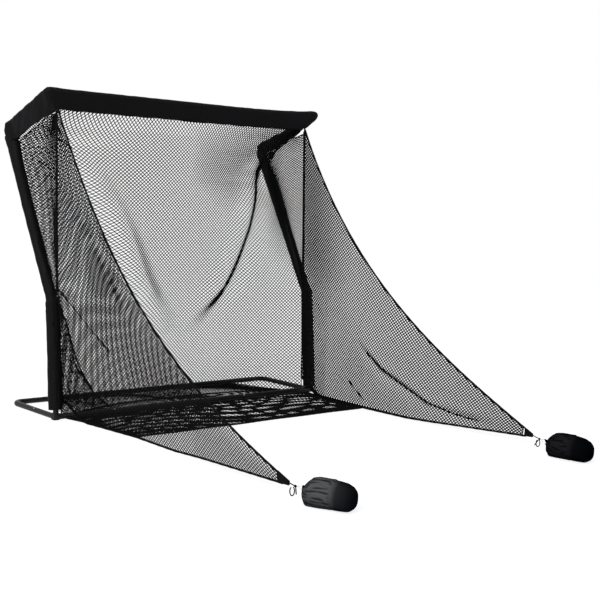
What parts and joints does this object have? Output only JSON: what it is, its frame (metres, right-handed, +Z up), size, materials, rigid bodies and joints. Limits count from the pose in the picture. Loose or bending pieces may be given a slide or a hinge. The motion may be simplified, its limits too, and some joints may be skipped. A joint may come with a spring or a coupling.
{
  "type": "golf chipping net",
  "caption": "Free-standing golf practice net: a leaning tube frame with padded sleeves, a hung main net, two side barriers drawn forward to sandbags and a floor apron.",
  "frame": {"origin": "centre of the bounding box on the floor", "axes": "+X to the player's right when facing the net, +Y from the sandbags to the back of the net, +Z up"},
  "size_m": [2.526, 3.6009, 2.272],
  "materials": {
    "tube_black": "satin",
    "tube_plain": "satin",
    "moulded_black": "matte",
    "button": "satin",
    "spring_steel": "satin",
    "foam": "matte",
    "sleeve_cloth": "matte",
    "netting": "matte",
    "binding": "matte",
    "elastic": "matte",
    "bag_cloth": "satin",
    "sand": "matte",
    "cord": "matte"
  },
  "bodies": {
    "frame": {"foot_block_left": "moulded_black", "foot_block_right": "moulded_black", "front_bar_left": "tube_black", "front_bar_middle": "tube_black", "front_bar_right": "tube_black", "side_rail_left": "tube_black", "side_rail_right": "tube_black", "rear_corner_left": "tube_black", "rear_corner_right": "tube_black", "rear_bar": "tube_black", "lower_upright_left": "tube_plain", "lower_upright_right": "tube_plain", "upper_upright_left": "tube_black", "upper_upright_right": "tube_black", "arm_left": "tube_black", "arm_right": "tube_black", "crossbar_left": "tube_black", "crossbar_right": "tube_black", "snap_springs": "spring_steel", "foam_padding": "foam", "crossbar_sleeve": "sleeve_cloth", "arm_sleeve_left": "sleeve_cloth", "arm_sleeve_right": "sleeve_cloth", "upper_sleeve_left": "sleeve_cloth", "upper_sleeve_right": "sleeve_cloth", "lower_sleeve_left": "sleeve_cloth", "lower_sleeve_right": "sleeve_cloth", "main_net": "netting", "floor_net": "netting", "apron_net": "netting", "apron_hem": "binding", "side_net_left": "netting", "side_net_right": "netting", "barrier_net_left": "netting", "barrier_net_right": "netting", "edge_rope_left": "binding", "edge_rope_right": "binding", "barrier_rope_left": "binding", "barrier_rope_right": "binding", "foot_bungees": "elastic"},
    "front_left_button": {"button_front_left": "button"},
    "front_right_button": {"button_front_right": "button"},
    "side_left_button": {"button_side_left": "button"},
    "side_right_button": {"button_side_right": "button"},
    "rear_left_button": {"button_rear_left": "button"},
    "rear_right_button": {"button_rear_right": "button"},
    "upright_left_button": {"button_upright_left": "button"},
    "upright_right_button": {"button_upright_right": "button"},
    "arm_left_button": {"button_arm_left": "button"},
    "arm_right_button": {"button_arm_right": "button"},
    "corner_left_button": {"button_corner_left": "button"},
    "corner_right_button": {"button_corner_right": "button"},
    "crossbar_button": {"button_crossbar": "button"},
    "bag_left": {"sandbag_left": "bag_cloth", "sand_fill_left": "sand", "bag_cord_left": "cord"},
    "bag_right": {"sandbag_right": "bag_cloth", "sand_fill_right": "sand", "bag_cord_right": "cord"}
  },
  "joints": [
    {"name": "front_left_press", "type": "slide", "parent": "frame", "child": "front_left_button", "axis": [0, -0.7071, 0.7071], "range_m": [-0.005, 0], "stiffness_N_per_m": 2000},
    {"name": "front_right_press", "type": "slide", "parent": "frame", "child": "front_right_button", "axis": [0, -0.7071, 0.7071], "range_m": [-0.005, 0], "stiffness_N_per_m": 2000},
    {"name": "side_left_press", "type": "slide", "parent": "frame", "child": "side_left_button", "axis": [-0.7071, 0, 0.7071], "range_m": [-0.005, 0], "stiffness_N_per_m": 2000},
    {"name": "side_right_press", "type": "slide", "parent": "frame", "child": "side_right_button", "axis": [0.7071, 0, 0.7071], "range_m": [-0.005, 0], "stiffness_N_per_m": 2000},
    {"name": "rear_left_press", "type": "slide", "parent": "frame", "child": "rear_left_button", "axis": [0, 0.7071, 0.7071], "range_m": [-0.005, 0], "stiffness_N_per_m": 2000},
    {"name": "rear_right_press", "type": "slide", "parent": "frame", "child": "rear_right_button", "axis": [0, 0.7071, 0.7071], "range_m": [-0.005, 0], "stiffness_N_per_m": 2000},
    {"name": "upright_left_press", "type": "slide", "parent": "frame", "child": "upright_left_button", "axis": [-1, 0, 0], "range_m": [-0.005, 0], "stiffness_N_per_m": 2000},
    {"name": "upright_right_press", "type": "slide", "parent": "frame", "child": "upright_right_button", "axis": [1, 0, 0], "range_m": [-0.005, 0], "stiffness_N_per_m": 2000},
    {"name": "arm_left_press", "type": "slide", "parent": "frame", "child": "arm_left_button", "axis": [-0.9978, 0.0627, -0.0234], "range_m": [-0.005, 0], "stiffness_N_per_m": 2000},
    {"name": "arm_right_press", "type": "slide", "parent": "frame", "child": "arm_right_button", "axis": [0.9978, 0.0627, -0.0234], "range_m": [-0.005, 0], "stiffness_N_per_m": 2000},
    {"name": "corner_left_press", "type": "slide", "parent": "frame", "child": "corner_left_button", "axis": [0, -1, 0], "range_m": [-0.005, 0], "stiffness_N_per_m": 2000},
    {"name": "corner_right_press", "type": "slide", "parent": "frame", "child": "corner_right_button", "axis": [0, -1, 0], "range_m": [-0.005, 0], "stiffness_N_per_m": 2000},
    {"name": "crossbar_press", "type": "slide", "parent": "frame", "child": "crossbar_button", "axis": [0, -1, 0], "range_m": [-0.005, 0], "stiffness_N_per_m": 2000},
    {"name": "bag_swing_left", "type": "hinge", "parent": "frame", "child": "bag_left", "pos_m": [-1.132, -1.33854, 0.078], "axis": [0, 0, 1], "range_deg": [-30, 30]},
    {"name": "bag_swing_right", "type": "hinge", "parent": "frame", "child": "bag_right", "pos_m": [1.157, -1.26854, 0.078], "axis": [0, 0, 1], "range_deg": [-30, 30]}
  ]
}
